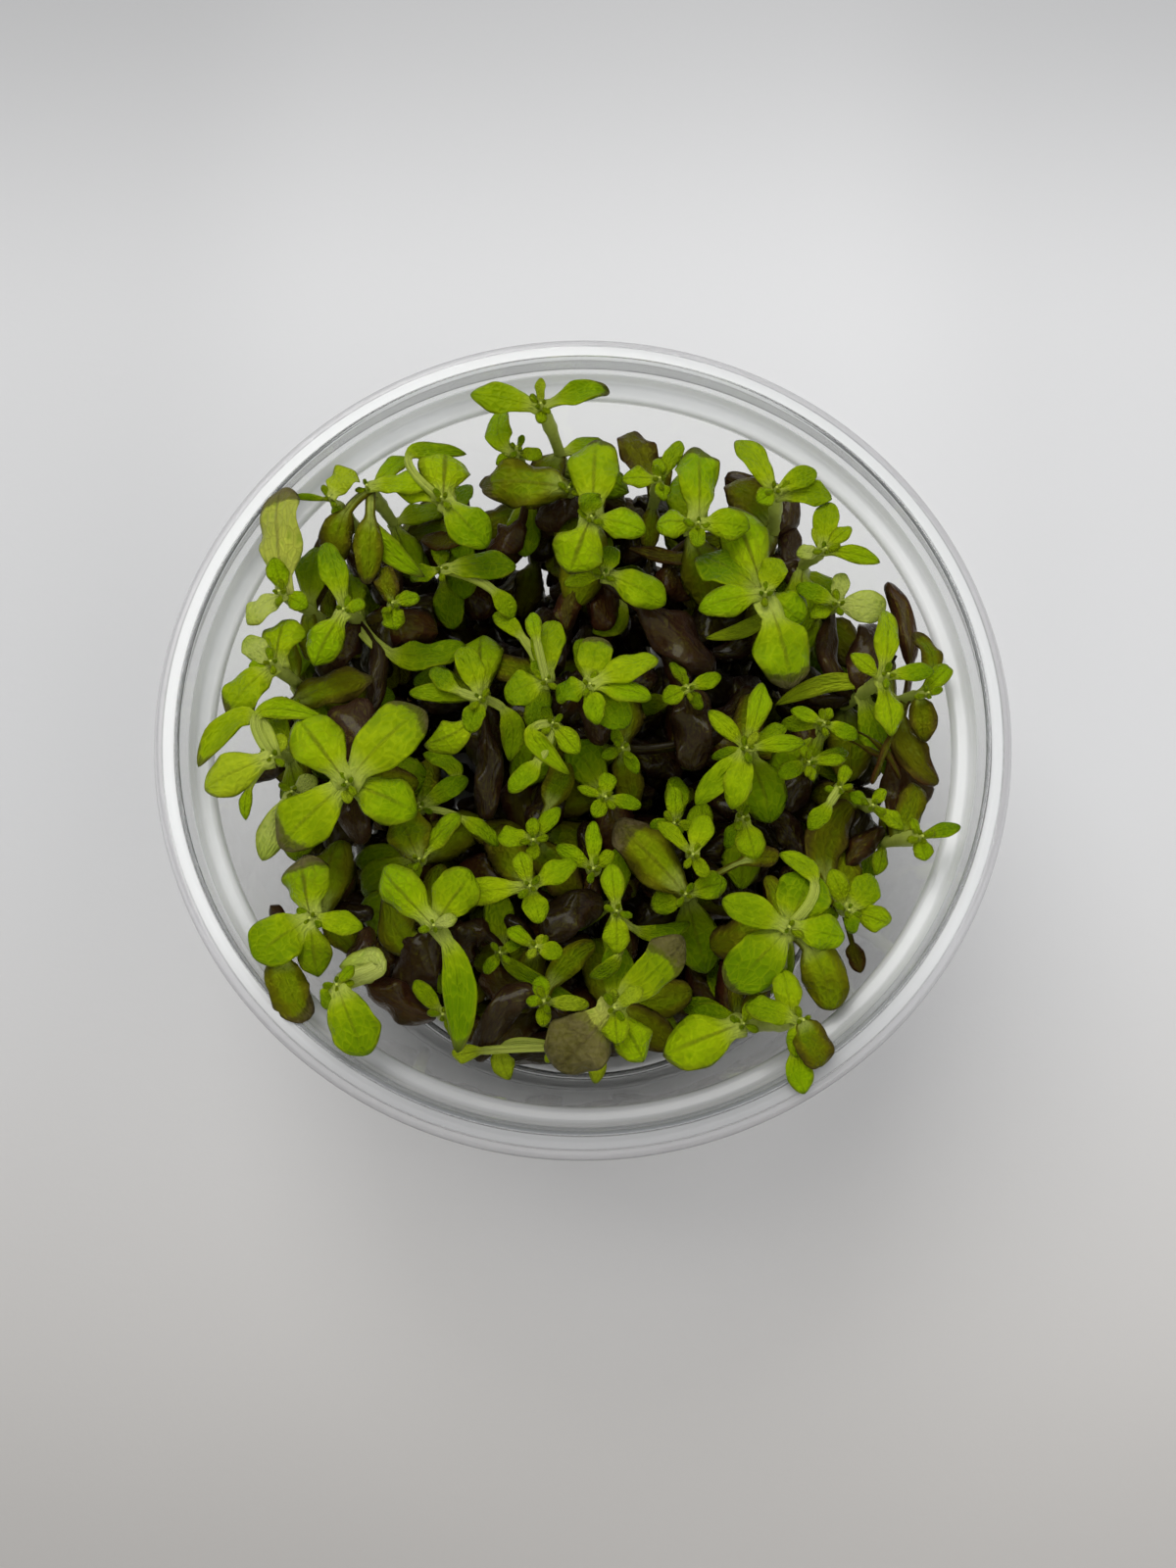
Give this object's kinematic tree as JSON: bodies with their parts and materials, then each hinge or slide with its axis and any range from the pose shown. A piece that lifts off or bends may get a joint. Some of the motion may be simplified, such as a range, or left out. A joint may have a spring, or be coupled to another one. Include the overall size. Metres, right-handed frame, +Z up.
{
  "type": "bacopa in a clear tub",
  "caption": "Low bacopa water plants with small fleshy leaves, crowded upright in an open round tub of clear plastic with a flat rim, ready to be split and planted.",
  "frame": {"origin": "centre of the tub's foot, on the surface that the tub stands on", "axes": "+Z up along the tub's axis; -Y is the side nearest the viewer and +X is the viewer's right"},
  "size_m": [0.1, 0.1, 0.064],
  "materials": {
    "clear_plastic": "clear glossy moulded plastic",
    "green_leaf": "fleshy leaf with a soft wet sheen",
    "olive_leaf": "older olive leaf with browned edges"
  },
  "bodies": {
    "root": {"plant_east_cup": "green_leaf", "plant_east_edge": "green_leaf", "plant_east_fan": "green_leaf", "plant_east_low": "green_leaf", "plant_east_small": "green_leaf", "plant_east_upright": "green_leaf", "plant_middle_bud": "green_leaf", "plant_middle_left": "green_leaf", "plant_middle_south": "green_leaf", "plant_middle_star": "green_leaf", "plant_middle_west": "green_leaf", "plant_north_broad": "green_leaf", "plant_north_left": "green_leaf", "plant_north_pair": "green_leaf", "plant_north_slim": "green_leaf", "plant_north_spoon": "green_leaf", "plant_north_tall": "green_leaf", "plant_northeast_broad": "green_leaf", "plant_northeast_slim": "green_leaf", "plant_northeast_tall": "green_leaf", "plant_northwest_edge": "green_leaf", "plant_northwest_long": "green_leaf", "plant_northwest_olive": "olive_leaf", "plant_northwest_slim": "green_leaf", "plant_south_arch": "green_leaf", "plant_south_broad": "green_leaf", "plant_south_cross": "green_leaf", "plant_south_left": "green_leaf", "plant_south_olive": "olive_leaf", "plant_south_twins": "green_leaf", "plant_south_yellow": "green_leaf", "plant_southeast_broad": "green_leaf", "plant_southeast_edge": "green_leaf", "plant_southeast_slim": "green_leaf", "plant_southeast_small": "green_leaf", "plant_southwest_broad": "green_leaf", "plant_southwest_edge": "green_leaf", "plant_southwest_long": "green_leaf", "plant_southwest_low": "green_leaf", "plant_west_edge": "green_leaf", "plant_west_four_leaf": "green_leaf", "plant_west_olive": "olive_leaf", "plant_west_spike": "green_leaf", "tub": "clear_plastic"}
  },
  "joints": []
}
